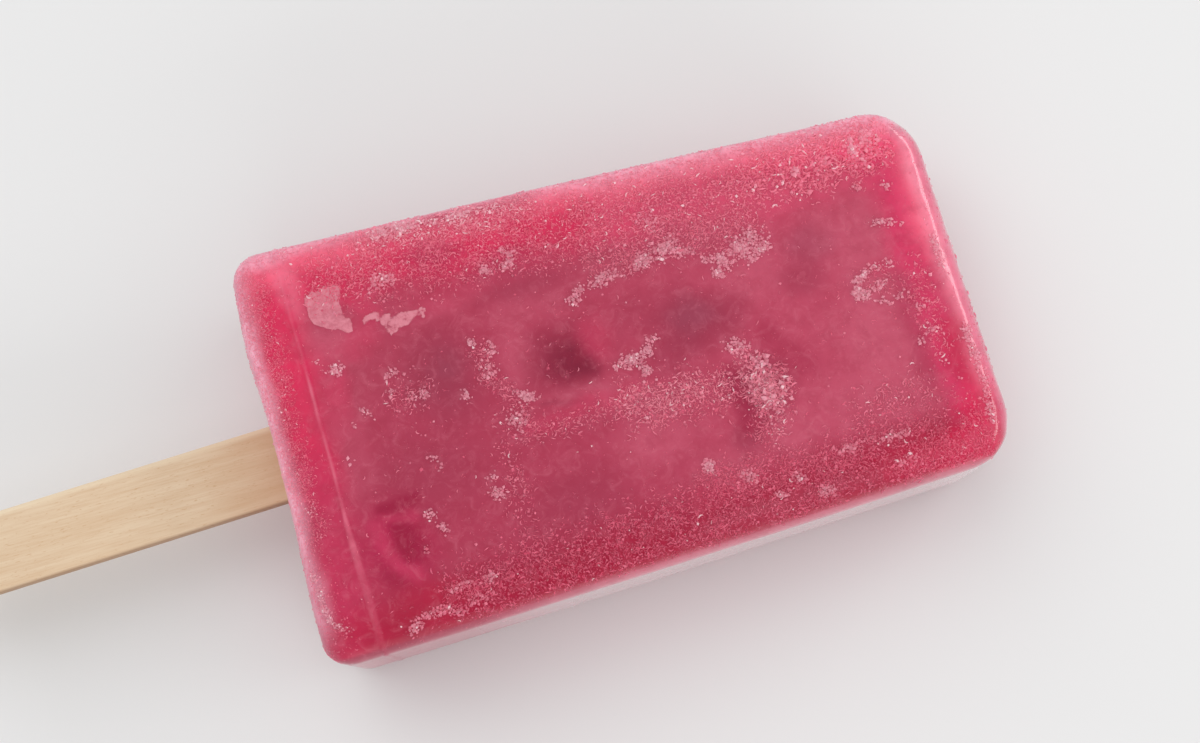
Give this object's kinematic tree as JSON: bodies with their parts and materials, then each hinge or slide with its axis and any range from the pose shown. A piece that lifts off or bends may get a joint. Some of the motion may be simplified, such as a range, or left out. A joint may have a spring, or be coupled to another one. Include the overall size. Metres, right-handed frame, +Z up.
{
  "type": "ice pop",
  "caption": "Frosty pink fruit ice pop: a tapered bar with rounded corners on a flat wooden stick, lying on its back.",
  "frame": {"origin": "on the ground, under the middle of the whole pop's box", "axes": "+X from the stick to the bar's tip, +Y across the bar, +Z up out of its front face"},
  "size_m": [0.14, 0.0524, 0.022],
  "materials": {
    "fruit_ice": "frozen fruit puree, milky and translucent, wet-glossy in places and frosted with ice crystals in others",
    "stick_wood": "plain unvarnished birch with fine lengthwise grain"
  },
  "bodies": {
    "root": {"ice_bar": "fruit_ice", "stick": "stick_wood"}
  },
  "joints": []
}
